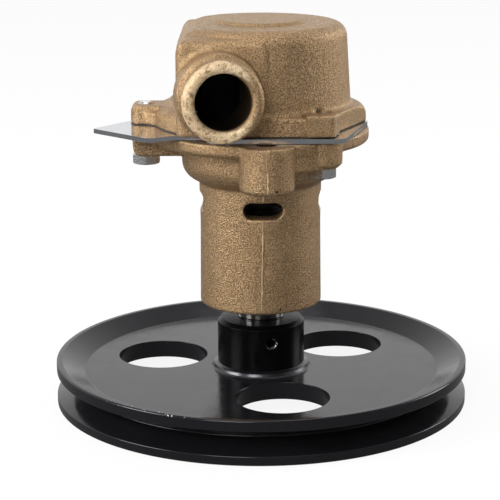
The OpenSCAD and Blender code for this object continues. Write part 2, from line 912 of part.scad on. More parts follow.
module cup_outside() {
  ring_top = body_z + ring_h;
  draft = (cup_base_r - cup_top_r) / (body_h - cup_round);
  fillet_r = cup_base_r - draft * (ring_h + ring_fillet);
  intersection() {
    rotate_extrude($fn = round_fn)
      polygon(concat(
        [[0, body_z],
        [cup_base_r, body_z],
        [cup_top_r, body_top - cup_round]],
        arc([cup_top_r - cup_round, body_top - cup_round], cup_round, 0, 90),
        [[0, body_top]]));
    translate([-left_wall_x, -far / 2, 0])
      cube([far, far, far]);
  }
  intersection() {
    rotate_extrude($fn = round_fn)
      polygon(concat(
        [[0, body_z],
        [ring_r, body_z]],
        arc([ring_r - ring_round - draft, ring_top - ring_round], ring_round, 0, 90),
        arc([fillet_r + ring_fillet, ring_top + ring_fillet], ring_fillet, 270, 180),
        [[0, ring_top + ring_fillet]]));
    linear_extrude(height = far)
      ring_bounds();
  }
}

module port_block() {
  top = body_z + block_h;
  intersection() {
    translate([0, far / 2, 0])
      rotate([90, 0, 0])
        linear_extrude(height = far)
          polygon(concat(
            [[-left_wall_x, body_z],
            [block_x, body_z]],
            arc([block_x - block_round, top - block_round], block_round, 0, 90),
            arc([rim_break - left_wall_x, top - rim_break], rim_break, 90, 180)));
    translate([-far / 2, 0, 0])
      rotate([90, 0, 90])
        linear_extrude(height = far)
          polygon(concat(
            [[-block_y, body_z],
            [block_y, body_z]],
            arc([block_y - block_round / 2, top - block_round / 2], block_round / 2, 0, 90),
            arc([block_round / 2 - block_y, top - block_round / 2], block_round / 2, 90, 180)));
    linear_extrude(height = far)
      polygon(concat(
        [[block_x, -block_y],
        [block_x, block_y]],
        corner([block_x, block_y], [-left_wall_x, block_y], [-left_wall_x, 0], block_corner_round),
        corner([-left_wall_x, 0], [-left_wall_x, -block_y], [block_x, -block_y],
          block_corner_round)));
  }
}

// Places the children with +Z pointing out of the port on side s, -1 front, +1 rear
module port_frame(s) {
  translate([-port_x, s * port_y, port_z])
    rotate([0, 0, s * (90 - port_angle)])
      rotate([0, 90, 0])
        children();
}

module nozzle() {
  root = port_y - block_y + collar_round * 2;
  rotate_extrude($fn = round_fn)
    polygon(concat(
      [[0, -root]],
      [[collar_r, -root]],
      arc([collar_r - collar_round, -bead_w - neck_l - collar_round], collar_round, 0, 90),
      [[neck_r, -bead_w - neck_l],
      [neck_r, -bead_w],
      [bead_r, -bead_round - bead_land]],
      arc([bead_r - bead_round, -bead_round], bead_round, 0, 90),
      [[0, 0]]));
}

module body_lug(p) {
  translate([p[0], p[1], 0])
    rotate_extrude($fn = small_fn)
      polygon(concat(
        [[0, body_z],
        [body_lug_r, body_z]],
        arc([body_lug_r - disc_round, body_z + body_lug_h - disc_round], disc_round, 0, 90),
        [[0, body_z + body_lug_h]]));
}

module cam_screw_axis() {
  translate([-left_wall_x, 0, port_z])
    rotate([0, 90, 0])
      children();
}

module pump_body() {
  color("peru")
    difference() {
      union() {
        cup_outside();
        port_block();
        for (s = [-1, 1])
          port_frame(s)
            nozzle();
        left_lug(body_z, body_z + ring_h, body_lug_round, left_lug_round, rim_break, 0);
        translate([0, 0, body_z])
          linear_extrude(height = ring_h * fillet_share)
            left_lug_fillets(ring_r);
        for (p = right_screw_at)
          body_lug(p);
        rotate_extrude($fn = round_fn)
          polygon([
            [0, body_top - pad_h],
            [pad_r, body_top - pad_h],
            [pad_r, body_top + pad_h / 2],
            [pad_r - pad_h / 2, body_top + pad_h],
            [0, body_top + pad_h]]);
      }
      // nothing of the body reaches below its gasket face
      translate([-far / 2, -far / 2, body_z - far])
        cube([far, far, far]);
      post(chamber_r, body_z - overrun, chamber_top);
      for (s = [-1, 1])
        port_frame(s) {
          translate([0, 0, -port_y + chamber_r / 2])
            cylinder(r = port_bore_r, h = port_y, $fn = round_fn);
          rotate_extrude($fn = round_fn)
            polygon(concat(
              [[0, -mouth_round]],
              arc([port_bore_r + mouth_round, -mouth_round], mouth_round, 180, 90),
              [[port_bore_r + mouth_round, overrun],
              [0, overrun]]));
        }
      for (p = screw_at)
        post(screw_r, body_z - overrun, body_z + body_lug_h + overrun, p);
      cam_screw_axis() {
        translate([0, 0, -overrun])
          cylinder(r = cam_screw_r, h = left_wall_x, $fn = small_fn);
        cylinder(r1 = cam_screw_r * 2, r2 = cam_screw_r, h = cam_screw_r, $fn = small_fn);
        translate([0, 0, -overrun])
          cylinder(r = cam_screw_r * 2, h = overrun, $fn = small_fn);
      }
    }
}
// Fastenings

module hex_screw(p) {
  translate([p[0], p[1], 0]) {
    intersection() {
      translate([0, 0, lug_z - head_h])
        rotate([0, 0, 30])
          cylinder(r = head_r, h = head_h, $fn = 6);
      rotate_extrude($fn = small_fn)
        polygon([
          [0, lug_z - head_h],
          [head_af / 2 - rim_break / 2, lug_z - head_h],
          [head_r, lug_z - head_h + head_chamfer],
          [head_r, lug_z],
          [0, lug_z]]);
    }
    translate([0, 0, lug_z - head_h / 2])
      cylinder(r = screw_r, h = screw_top - lug_z - head_chamfer + head_h / 2, $fn = small_fn);
    translate([0, 0, screw_top - head_chamfer])
      cylinder(r1 = screw_r, r2 = screw_r - head_chamfer, h = head_chamfer, $fn = small_fn);
  }
}

module flange_screws() {
  color("lightgray")
    for (p = screw_at)
      hex_screw(p);
}

// Cam and wear plate

module cam() {
  bow_r = chamber_r;
  flat_x = chamber_r - cam_t;
  color("darkgoldenrod")
    difference() {
      intersection() {
        post_round(chamber_r, plate_top + fit_gap, wear_z - fit_gap);
        translate([-flat_x - bow_r, 0, 0])
          post_round(bow_r, plate_top, wear_z);
        translate([-far, -cam_half_w, 0])
          cube([far, 2 * cam_half_w, far]);
      }
      cam_screw_axis()
        cylinder(r = cam_screw_r, h = left_wall_x - chamber_r + cam_t * 0.7, $fn = small_fn);
    }
}

module cam_screw() {
  color("lightgray")
    cam_screw_axis()
      difference() {
        union() {
          cylinder(r = cam_screw_r, h = left_wall_x - chamber_r + cam_t * 0.6, $fn = small_fn);
          cylinder(r1 = cam_screw_r * 2, r2 = cam_screw_r, h = cam_screw_r, $fn = small_fn);
        }
        translate([-cam_screw_r * 2, -cam_screw_r / 5, -overrun])
          cube([cam_screw_r * 4, cam_screw_r / 2.5, overrun + cam_screw_r / 3]);
      }
}

module wear_plate() {
  color("lightgray")
    post_round(chamber_r - fit_gap, wear_z, chamber_top);
}

// Impeller

// Share of the full bend that a vane at angle a takes, 1 on the cam and 0 far from it
function cam_share(a) = max(0, -cos(a)) ^ 6;

// Angle by which the tip of the vane at angle a trails its root
function vane_lag(a) = free_lag + cam_lag * cam_share(a);

// Radius at which the tip bulb of the vane at angle a sits
function tip_place(a) = chamber_r - vane_gap - vane_tip_r - (cam_t + vane_gap) * cam_share(a) ^ 0.5;

// Point on the middle line of the vane at angle a, t from 0 at the root to 1 at the tip
function vane_point(a, t) =
  let (r = impeller_hub_r * root_share + (tip_place(a) - impeller_hub_r * root_share) * t,
    b = a - vane_lag(a) * t ^ 2)
  [r * cos(b), r * sin(b)];

// Unit vector square to the middle line there
function vane_side(a, t) =
  let (d = vane_point(a, t + probe_share) - vane_point(a, t - probe_share))
  [-d[1], d[0]] / norm(d);

module vane(a) {
  vane_steps = 8;
  vane_h = rubber_top - rubber_z;
  linear_extrude(height = vane_h)
    polygon(concat(
      [for (i = [0:vane_steps])
        vane_point(a, i / vane_steps) + vane_side(a, i / vane_steps) * vane_t / 2],
      [for (i = [vane_steps:-1:0])
        vane_point(a, i / vane_steps) - vane_side(a, i / vane_steps) * vane_t / 2]));
  translate(vane_point(a, 1))
    cylinder(r = vane_tip_r, h = vane_h, $fn = small_fn);
}

module impeller_rubber() {
  color("dimgray")
    difference() {
      union() {
        post_round(impeller_hub_r, rubber_z, rubber_top);
        for (i = [0:vane_count - 1])
          translate([0, 0, rubber_z])
            vane(180 + i * 360 / vane_count);
      }
      post_round(insert_r, rubber_z - overrun, rubber_top + overrun);
    }
}

module impeller_key_way(r0, r1) {
  translate([r0, -impeller_key_w / 2, insert_z + impeller_key_w])
    cube([r1 - r0, impeller_key_w, insert_l - impeller_key_w * 2]);
}

module impeller_key() {
  color("silver")
    impeller_key_way(nose_r - impeller_key_w / 2, nose_r + impeller_key_w / 2);
}

module impeller_insert() {
  color("goldenrod")
    difference() {
      tube(nose_r, insert_r, insert_z, insert_top);
      translate([0, -impeller_key_w / 2, insert_z - overrun])
        cube([nose_r + impeller_key_w / 2, impeller_key_w, insert_l + 2 * overrun]);
    }
}

module impeller_ring() {
  color("slategray")
    open_ring(nose_r - ring_groove_depth, nose_r + shaft_ring_h, insert_top, shaft_ring_t);
}

module impeller_sleeve() {
  color("goldenrod")
    tube(nose_r, sleeve_r, case_top, insert_z);
}
// Shaft seal above the drain slots

module seal_seat() {
  color("white")
    tube(nose_r + seat_bore_gap, seat_r, seat_z + cup_lip, seat_top);
}

module seat_cup() {
  color("black")
    rotate_extrude($fn = round_fn)
      polygon([
        [seat_r - seat_bore_gap, seat_z],
        [seat_pocket_r, seat_z],
        [seat_pocket_r, seat_top - cup_lip],
        [seat_r, seat_top - cup_lip],
        [seat_r, seat_z + cup_lip],
        [seat_r - seat_bore_gap, seat_z + cup_lip]]);
}

module seal_carbon() {
  color("black")
    rotate_extrude($fn = round_fn)
      polygon([
        [nose_r + seat_bore_gap, carbon_z],
        [carbon_r - race_break, carbon_z],
        [carbon_r - race_break, carbon_z + carbon_t / 3],
        [carbon_r, carbon_z + carbon_t / 3],
        [carbon_r, carbon_z + carbon_t],
        [nose_r + seat_bore_gap, carbon_z + carbon_t]]);
}

module seal_bellows() {
  z0 = carbon_z + carbon_t;
  h = case_top - case_t - z0;
  color("dimgray")
    rotate_extrude($fn = round_fn)
      polygon([
        [nose_r, z0],
        [carbon_r, z0],
        [carbon_r, z0 + h * fold_shares[0]],
        [carbon_r - fold_depth, z0 + h * fold_shares[1]],
        [carbon_r, z0 + h * fold_shares[2]],
        [carbon_r, z0 + h],
        [nose_r, z0 + h]]);
}

module seal_case() {
  color("silver")
    rotate_extrude($fn = round_fn)
      polygon([
        [nose_r, case_top - case_t],
        [carbon_r, case_top - case_t],
        [carbon_r, carbon_z + carbon_t - case_lap],
        [case_r, carbon_z + carbon_t - case_lap],
        [case_r, case_top - case_t],
        [case_r - case_t / 2, case_top],
        [nose_r, case_top]]);
}

// Slinger and lip seal below the drain slots

module slinger() {
  color("black")
    rotate_extrude($fn = round_fn)
      polygon([
        [nose_r, slot_z - slinger_t / 2],
        [slinger_r, slot_z - slinger_rim_t / 2],
        [slinger_r, slot_z + slinger_rim_t / 2],
        [nose_r + slinger_t, slot_z + slinger_t / 2],
        [nose_r, slot_z + slinger_t / 2]]);
}

module lip_seal_case() {
  color("silver")
    rotate_extrude($fn = round_fn)
      polygon([
        [lip_seal_r - lip_t, lip_z],
        [lip_seal_r, lip_z],
        [lip_seal_r, lip_stop_z],
        [shaft_r + lip_step, lip_stop_z],
        [shaft_r + lip_step, lip_stop_z - lip_t],
        [lip_seal_r - lip_t, lip_stop_z - lip_t]]);
}

module lip_seal_rubber() {
  color("black")
    rotate_extrude($fn = round_fn)
      polygon([
        [shaft_r + fit_gap, lip_z + lip_t * 2],
        [shaft_r + lip_t, lip_z + lip_t],
        [shaft_r + lip_step, lip_z + lip_t],
        [shaft_r + lip_step, lip_stop_z - lip_t * 2],
        [lip_seal_r - lip_t, lip_stop_z - lip_t * 2],
        [lip_seal_r - lip_t, lip_stop_z - lip_t],
        [shaft_r + lip_step, lip_stop_z - lip_t],
        [shaft_r + lip_step, lip_stop_z],
        [shaft_r + lip_t, lip_stop_z],
        [shaft_r + fit_gap, lip_stop_z - lip_t]]);
}

// Ball bearings, drawn for the bearing that starts at z

module ball_track(z) {
  translate([0, 0, z + bearing_w / 2])
    rotate_extrude($fn = round_fn)
      translate([pitch_r, 0])
        circle(r = groove_round, $fn = small_fn);
}

module inner_race(z) {
  difference() {
    rotate_extrude($fn = round_fn)
      polygon([
        [shaft_r, z],
        [inner_land_r - race_break, z],
        [inner_land_r, z + race_break],
        [inner_land_r, z + bearing_w - race_break],
        [inner_land_r - race_break, z + bearing_w],
        [shaft_r, z + bearing_w]]);
    ball_track(z);
  }
}

module outer_race(z) {
  difference() {
    rotate_extrude($fn = round_fn)
      polygon([
        [outer_land_r, z],
        [bearing_r - race_break, z],
        [bearing_r, z + race_break],
        [bearing_r, z + bearing_w - race_break],
        [bearing_r - race_break, z + bearing_w],
        [outer_land_r, z + bearing_w]]);
    ball_track(z);
  }
}

module balls(z) {
  for (i = [0:ball_count - 1])
    rotate([0, 0, i * 360 / ball_count])
      translate([pitch_r, 0, z + bearing_w / 2])
        sphere(r = ball_r, $fn = small_fn);
}

// Crown cage: a ring under the balls with open pockets
module crown_cage(z) {
  difference() {
    tube(pitch_r - cage_t / 2, pitch_r + cage_t / 2,
      z + bearing_w / 2 - ball_r - cage_back, z + bearing_w / 2 + ball_r / 3);
    for (i = [0:ball_count - 1])
      rotate([0, 0, i * 360 / ball_count])
        translate([pitch_r, 0, z + bearing_w / 2])
          sphere(r = ball_r + fit_gap, $fn = small_fn);
  }
}

module shields(z) {
  for (z0 = [z + shield_inset, z + bearing_w - shield_inset - shield_t])
    tube(inner_land_r + running_gap, outer_land_r, z0, z0 + shield_t);
}

module upper_outer_race() { color("lightsteelblue") outer_race(upper_bearing_z); }
module upper_inner_race() { color("lightsteelblue") inner_race(upper_bearing_z); }
module upper_balls() { color("white") balls(upper_bearing_z); }
module upper_cage() { color("gold") crown_cage(upper_bearing_z); }
module upper_shields() { color("black") shields(upper_bearing_z); }
module lower_outer_race() { color("lightsteelblue") outer_race(lower_bearing_z); }
module lower_inner_race() { color("lightsteelblue") inner_race(lower_bearing_z); }
module lower_balls() { color("white") balls(lower_bearing_z); }
module lower_cage() { color("gold") crown_cage(lower_bearing_z); }
module lower_shields() { color("black") shields(lower_bearing_z); }

module outer_spacer() {
  color("silver")
    tube(outer_land_r, bearing_r, spacer_z, upper_bearing_z);
}

module inner_spacer() {
  color("silver")
    tube(shaft_r, inner_land_r - race_break, spacer_z, upper_bearing_z);
}

pulley_upper_disc();
pulley_lower_disc();
pulley_hub();
hub_weld();
set_screw();
pulley_key();
shaft();
bearing_housing();
housing_gasket();
mount_plate();
body_gasket();
pump_body();
flange_screws();
cam();
cam_screw();
wear_plate();
impeller_insert();
impeller_rubber();
impeller_key();
impeller_ring();
impeller_sleeve();
seal_seat();
seat_cup();
seal_carbon();
seal_bellows();
seal_case();
slinger();
lip_seal_case();
lip_seal_rubber();
upper_outer_race();
upper_inner_race();
upper_balls();
upper_cage();
upper_shields();
lower_outer_race();
lower_inner_race();
lower_balls();
lower_cage();
lower_shields();
outer_spacer();
inner_spacer();
shaft_rings();
housing_ring();
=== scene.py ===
"""Finishes, cast surface, fine detail, studio and camera of a belt-driven flexible impeller pump.

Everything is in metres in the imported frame: the shaft axis is Z, the pulley stands on z = 0, the
front hose port looks to -Y and the plate's tab to -X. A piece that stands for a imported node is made
from a copy of its mesh and stays where the node is. All other nodes keep their shape and only get a
finish, and two of them small broken edges.
"""
import json
import math
import random

import bmesh
import bpy
from mathutils import Matrix, Vector
from mathutils.bvhtree import BVHTree

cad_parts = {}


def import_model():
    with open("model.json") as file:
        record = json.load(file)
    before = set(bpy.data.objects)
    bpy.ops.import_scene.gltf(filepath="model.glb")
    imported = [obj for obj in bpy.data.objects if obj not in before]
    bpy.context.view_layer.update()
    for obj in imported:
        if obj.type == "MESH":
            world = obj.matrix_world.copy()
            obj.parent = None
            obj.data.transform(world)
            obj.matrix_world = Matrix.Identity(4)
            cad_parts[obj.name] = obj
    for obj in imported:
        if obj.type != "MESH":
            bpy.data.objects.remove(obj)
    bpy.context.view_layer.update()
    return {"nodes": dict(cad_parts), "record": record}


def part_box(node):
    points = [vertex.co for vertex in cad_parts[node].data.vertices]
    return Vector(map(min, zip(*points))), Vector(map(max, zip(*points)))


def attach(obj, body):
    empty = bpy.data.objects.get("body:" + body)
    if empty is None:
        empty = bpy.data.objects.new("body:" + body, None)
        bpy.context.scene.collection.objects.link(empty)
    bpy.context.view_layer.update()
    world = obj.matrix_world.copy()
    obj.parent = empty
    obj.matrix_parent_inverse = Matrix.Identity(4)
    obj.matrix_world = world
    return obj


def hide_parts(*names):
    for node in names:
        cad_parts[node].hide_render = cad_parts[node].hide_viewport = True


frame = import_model()
NODES = frame["nodes"]
MOUNTS = {mount["name"]: mount for mount in frame["record"]["mounts"]}

MM = 0.001
NEAR = 0.05 * MM

# Camera, fitted to the circles of the pulley, the hub and the housing
CAMERA_PLACE = Vector((-2.51, -754.97, 257.42)) * MM
CAMERA_PITCH = 0.2494
CAMERA_YAW = -0.0027
CAMERA_ROLL = -0.006
FOCAL_PIXELS = 1807.9
IMAGE_PIXELS = 500
SENSOR_WIDTH_MM = 36
CLIP_START = 0.05
CLIP_END = 20

# Hose ports: height of their axes, their lean to +X for each metre outwards, and where they cross y = 0
PORT = MOUNTS["front_port"]
PORT_AXIS_Z = PORT["pos_m"][2]
PORT_LEAN = PORT["axis"][0] / -PORT["axis"][1]
PORT_CROSSING_X = PORT["pos_m"][0] + PORT["pos_m"][1] * PORT_LEAN

# Where the finish changes at a port: edge and outer end of the bore's painted shade, start of the mouth's
# rubbed colour with its painted highlight, and the sides across which that highlight grows paler
BORE_EDGE_R = (11.9 * MM, 11.2 * MM)
BORE_END_Y = (55.8 * MM, 53.5 * MM)
MOUTH_START_Y = (55.8 * MM, 57.0 * MM)
MOUTH_HIGHLIGHT_SIDES = (-9 * MM, 12 * MM)

# Casting pores in the housing's front, coloured as painted shade: place across, height and radius
PORES = ((8.1 * MM, 45.5 * MM, 0.55 * MM), (6.4 * MM, 102.0 * MM, 0.75 * MM))
PORE_FLOOR = 0.6
PORE_SHADE = 0.9

# The pulley's crest, and the stretch of it where the paint has chipped
CREST_R = (86.7 * MM, 87.6 * MM)
CREST_Z = (18.1 * MM, 18.5 * MM)
CHIPPED_SPOT = (-47 * MM, -76 * MM, 18.9 * MM)
CHIPPED_REACH = (24 * MM, 8 * MM)

# Height at which the shaft goes from bright to the painted shade it has inside the housing
SHAFT_SHADE_Z = (46 * MM, 52 * MM)

# The pulley's groove in the frame
GROOVE = MOUNTS["belt_groove"]
PULLEY_R = GROOVE["dims"]["r_mm"] * MM
GROOVE_MID = GROOVE["pos_m"][2]
GROOVE_HALF = GROOVE["dims"]["length_mm"] * MM / 2
GROOVE_ROOT_R = 79.2 * MM

# The wider groove that the photograph shows
OPEN_ROOT_R = 78.5 * MM
OPEN_MID = 9.1 * MM
OPEN_LIPS = (3.9 * MM, 14.3 * MM)
OPEN_ROOT_HALF = 0.3 * MM
RIM_WELD = 0.002 * MM
RIM_EDGE = 0.25 * MM
RIM_EDGE_ANGLE = math.radians(15)

# The hub: the chamfer of its bore in the frame, and the small edge that the photograph shows
SHAFT_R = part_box("shaft")[1][0]
HUB_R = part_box("pulley_hub")[1][0]
HUB_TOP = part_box("pulley_hub")[1][2]
BORE_CHAMFER = 1.6 * MM
BORE_EDGE = 0.3 * MM
HUB_EDGE = 0.3 * MM

# The set screw: its direction, the share of its length that it keeps, and its hole
SET_SCREW_ANGLE = math.radians(-75.8)
SET_SCREW_WAY = Vector((math.cos(SET_SCREW_ANGLE), math.sin(SET_SCREW_ANGLE), 0))
SET_SCREW_SHARE = 0.66
HOLE_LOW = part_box("set_screw")[0][2]
HOLE_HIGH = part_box("set_screw")[1][2]
HOLE_Z = (HOLE_LOW + HOLE_HIGH) / 2
HOLE_R = (HOLE_HIGH - HOLE_LOW) / 2

# Thread in that hole: a turn's foot covers nearly the whole pitch
THREAD_DEPTH = 0.35 * MM
THREAD_PITCH = 0.8 * MM
THREAD_FOOT = 0.96 * THREAD_PITCH
THREAD_TURNS = 3
THREAD_INSET = 0.5 * MM
THREAD_SIDES = 32

# Skin of the castings
CAST_VOXEL = 0.6 * MM
CAST_SMOOTHING = 3
SMOOTHING_FACTOR = 0.5

# The pump body's flat left wall, whose edge with the top is round, and its lifted top
BODY_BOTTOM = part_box("pump_body")[0][2]
BODY_TOP = 162.8 * MM
LEFT_WALL_X = -34.7 * MM
LEFT_WALL_HALF = 12 * MM
LEFT_WALL_BACK_X = -30 * MM
LEFT_WALL_BACK_HALF = 20.5 * MM
LEFT_WALL_FOOT = 150 * MM
SHOULDER_ACROSS = 14 * MM
SHOULDER_DOWN = 10 * MM
SOFT_BEFORE_X = -18 * MM
SOFT_ABOVE_Z = 147 * MM
SOFT_PASSES = 45
LIFT_FROM = 146 * MM
LIFT = 0.8 * MM

# Square noses of the body's right lugs
LUG_TOP = 130.4 * MM
NOSE_LEFT = 17.5 * MM
NOSE_RIGHT = 30.7 * MM
NOSE_FRONT = -40.2 * MM
NOSE_BACK = -33 * MM
NOSE_ROUND = 3 * MM
NOSE_STEPS = 6

# Parting line of the housing's mould, from the barrel's foot to the boss: for each stretch the
# lowest and highest z, and x at both ends
RIDGE_PATH = (
    (44.5 * MM, 84.0 * MM, 0.4 * MM, 1.15 * MM),
    (91.6 * MM, 97.6 * MM, 1.2 * MM, 1.25 * MM),
    (99.5 * MM, 109.5 * MM, 3.0 * MM, 3.0 * MM))
RIDGE_HALF = 0.55 * MM
RIDGE_HEIGHT = 0.3 * MM
RIDGE_STEP = 0.9 * MM
RIDGE_SEED = 7
RIDGE_WANDER = 0.08 * MM
RIDGE_UNEVEN = (0.55, 1.1)
RIDGE_END_HEIGHT = 0.2
RIDGE_RISE = 4
# The section's corners: place across as a share of the half width, and rise as a share of the height
RIDGE_SECTION = ((-1.0, -0.25), (-0.45, 0.8), (0.45, 1.0), (1.0, -0.25))
RAY_START_Y = -0.2

# Broken edges
EDGE_WELD = 0.001 * MM
EDGE_SEGMENTS = 3
EDGE_ANGLE = math.radians(30)
EDGE_OF_NODE = {"flange_screws": 0.2 * MM, "mount_plate": 0.15 * MM}

# Room light by direction: the two places on an axis between which it changes, and its strength at each
BACK_WALL = (-0.05, 0.3, 0.0, 1.0)
BACK_WALL_FADE = (0.3, 0.95, 1.0, 0.5)
LEFT_SIDE = (-0.35, -0.9, 0.0, 0.7)
RIGHT_SIDE = (0.6, 0.95, 0.0, 0.45)
CEILING = (0.4, 0.9, 0.0, 0.4)
FRONT = (-0.2, -0.8, 0.05, 0.34)
FRONT_FADE = (0.75, -0.3, 0.35, 1.0)
WHITE = (1, 1, 1, 1)

# Lamps: name, place, size and power
LAMP_TARGET = Vector((0, 0, 0.08))
LAMPS = (
    ("key", (-1.5, -0.55, 0.75), 0.8, 22),
    ("front", (-0.5, -1.5, 0.9), 0.7, 12),
    ("edge", (1.5, 0.5, 0.6), 0.7, 9),
    ("top", (0, 0.1, 1.6), 1.0, 6))

# Floor: its glow for the camera, and how bright polished and painted pieces mirror it
FLOOR_HALF = 3.0
FLOOR_COLOUR = (0.9, 0.9, 0.9, 1)
FLOOR_GLOW = 0.9
FLOOR_MIRRORED = 0.22

# Span in which most of a noise's values lie, and the colour inputs and output of Blender's Mix node
NOISE_SPAN = (0.3, 0.7)
MIX_A = 6
MIX_B = 7
MIX_RESULT = 2


class NodeTree:
    """A tree of shader nodes, with short ways to add the usual ones."""

    def __init__(self, tree):
        self.tree = tree
        tree.nodes.clear()

    def add(self, kind, **settings):
        node = self.tree.nodes.new(kind)
        for name, value in settings.items():
            setattr(node, name, value)
        return node

    def feed(self, socket, value):
        """Links a socket, or sets its plain value."""
        if isinstance(value, bpy.types.NodeSocket):
            self.tree.links.new(value, socket)
        elif isinstance(value, (tuple, list)) and len(value) == 3 and socket.type == "RGBA":
            socket.default_value = (*value, 1)
        else:
            socket.default_value = value

    def axes(self, place):
        """The x, y and z of a place."""
        node = self.add("ShaderNodeSeparateXYZ")
        self.feed(node.inputs[0], place)
        return node.outputs

    def math(self, operation, a, b=0.0):
        node = self.add("ShaderNodeMath", operation=operation)
        self.feed(node.inputs[0], a)
        self.feed(node.inputs[1], b)
        return node.outputs[0]

    def span(self, value, low, high, to_low=0.0, to_high=1.0):
        """Goes smoothly from to_low to to_high, as value goes from low to high."""
        node = self.add("ShaderNodeMapRange", interpolation_type="SMOOTHSTEP")
        self.feed(node.inputs["Value"], value)
        self.feed(node.inputs["From Min"], low)
        self.feed(node.inputs["From Max"], high)
        self.feed(node.inputs["To Min"], to_low)
        self.feed(node.inputs["To Max"], to_high)
        return node.outputs["Result"]

    def blend(self, share, shader_a, shader_b):
        node = self.add("ShaderNodeMixShader")
        self.feed(node.inputs["Fac"], share)
        self.feed(node.inputs[1], shader_a)
        self.feed(node.inputs[2], shader_b)
        return node.outputs[0]


class Finish(NodeTree):
    """A material with one Principled shader, placed by the piece's own coordinates."""

    def __init__(self, name, metallic, roughness, colour):
        self.material = bpy.data.materials.new(name)
        self.material.use_nodes = True
        super().__init__(self.material.node_tree)
        output = self.add("ShaderNodeOutputMaterial")
        self.shader = self.add("ShaderNodeBsdfPrincipled")
        self.feed(output.inputs["Surface"], self.shader.outputs["BSDF"])
        self.place = self.add("ShaderNodeTexCoord").outputs["Object"]
        self.set("Metallic", metallic)
        self.set("Roughness", roughness)
        self.set("Base Color", colour)

    def set(self, name, value):
        self.feed(self.shader.inputs[name], value)

    def noise(self, size, detail=3, roughness=0.5, place=None):
        """Noise from 0 to 1 whose features are about size across."""
        node = self.add("ShaderNodeTexNoise")
        self.feed(node.inputs["Vector"], place or self.place)
        self.feed(node.inputs["Scale"], 1 / size)
        self.feed(node.inputs["Detail"], detail)
        self.feed(node.inputs["Roughness"], roughness)
        return node.outputs["Fac"]

    def spread(self, noise, low, high):
        """Spreads the values of a noise from low to high."""
        return self.span(noise, *NOISE_SPAN, low, high)

    def mix(self, share, a, b):
        """A colour from a to b."""
        node = self.add("ShaderNodeMix", data_type="RGBA")
        self.feed(node.inputs["Factor"], share)
        self.feed(node.inputs[MIX_A], a)
        self.feed(node.inputs[MIX_B], b)
        return node.outputs[MIX_RESULT]

    def length(self, a, b):
        """Length of the diagonal of a and b."""
        squares = self.math("ADD", self.math("MULTIPLY", a, a), self.math("MULTIPLY", b, b))
        return self.math("SQRT", squares)

    def stretched(self, scale):
        """The place, scaled by a different number along each axis."""
        node = self.add("ShaderNodeMapping")
        self.feed(node.inputs["Vector"], self.place)
        node.inputs["Scale"].default_value = scale
        return node.outputs[0]

    def bump(self, height, distance, under=None):
        """Bump whose height of 0 to 1 stands for a real distance."""
        node = self.add("ShaderNodeBump")
        self.feed(node.inputs["Height"], height)
        node.inputs["Distance"].default_value = distance
        node.inputs["Strength"].default_value = 1.0
        if under is not None:
            self.feed(node.inputs["Normal"], under)
        self.set("Normal", node.outputs[0])
        return node.outputs[0]


# Materials

def beside_port(g):
    """Where a point lies: outwards from the middle plane, across from the port's axis, and away from it."""
    x, y, z = g.axes(g.place)
    outwards = g.math("ABSOLUTE", y)
    axis_x = g.math("ADD", g.math("MULTIPLY", outwards, PORT_LEAN), PORT_CROSSING_X)
    across = g.math("SUBTRACT", x, axis_x)
    away = g.length(across, g.math("SUBTRACT", z, PORT_AXIS_Z))
    return outwards, across, away


def painted_pore_shade(g):
    """Painted shade of the pores in the housing's front: how far a point lies in one of them."""
    x, y, z = g.axes(g.place)
    deepest = 0.0
    for pore_x, pore_z, pore_r in PORES:
        away = g.length(g.math("SUBTRACT", x, pore_x), g.math("SUBTRACT", z, pore_z))
        depth = g.span(away, pore_r, PORE_FLOOR * pore_r, 0.0, PORE_SHADE)
        deepest = g.math("MAXIMUM", deepest, depth)
    return g.math("MULTIPLY", deepest, g.math("LESS_THAN", y, 0.0))


def cast_surface(g, grain):
    """Colour of the grainy bronze with its paler worn edges, how worn a point is, and how much painted shade
    a hollow point gets.
    """
    brown = (0.5, 0.325, 0.172)
    tan = (0.65, 0.435, 0.24)
    grain_colour = (0.13, 0.082, 0.038)
    worn_colour = (0.72, 0.55, 0.34)
    stain_size = 11 * MM
    patch_size = 2.5 * MM
    grain_span = (0.34, 0.64, 0.0, 0.84)
    patch_span = (0.35, 0.65, 0.35, 0.9)
    edge_span = (0.52, 0.6)
    hollow_shade_span = (0.49, 0.42, 0.0, 0.75)
    stained = g.mix(g.noise(stain_size, detail=4, roughness=0.6), brown, tan)
    grainy = g.mix(g.span(grain, *grain_span), stained, grain_colour)
    point = g.add("ShaderNodeNewGeometry").outputs["Pointiness"]
    patches = g.span(g.noise(patch_size), *patch_span)
    worn = g.math("MULTIPLY", g.span(point, *edge_span), patches)
    # The last value is painted shade for the hollows, found from the mesh's pointiness.
    return g.mix(worn, grainy, worn_colour), worn, g.span(point, *hollow_shade_span)


def mouth_rub_and_highlight(g, grain, outwards, across):
    """Colour of the port mouths, which hose and clamp rub bright, with a painted highlight that grows paler
    to the right, and how far a point is rubbed and highlit.
    """
    left_rubbed_highlight = (0.72, 0.53, 0.32)
    right_rubbed_highlight = (1.0, 0.8, 0.52)
    pit_colour = (0.3, 0.2, 0.1)
    patch_size = 1.6 * MM
    patch_span = (0.3, 0.5)
    pit_span = (0.4, 0.6, 0.0, 0.4)
    # Painted highlight: the mouth's colour grows paler from left to right of the port's axis.
    rubbed_highlight_colour = g.mix(g.span(across, *MOUTH_HIGHLIGHT_SIDES), left_rubbed_highlight, right_rubbed_highlight)
    pitted = g.mix(g.span(grain, *pit_span), rubbed_highlight_colour, pit_colour)
    patches = g.span(g.noise(patch_size), *patch_span)
    return pitted, g.math("MULTIPLY", g.span(outwards, *MOUTH_START_Y), patches)


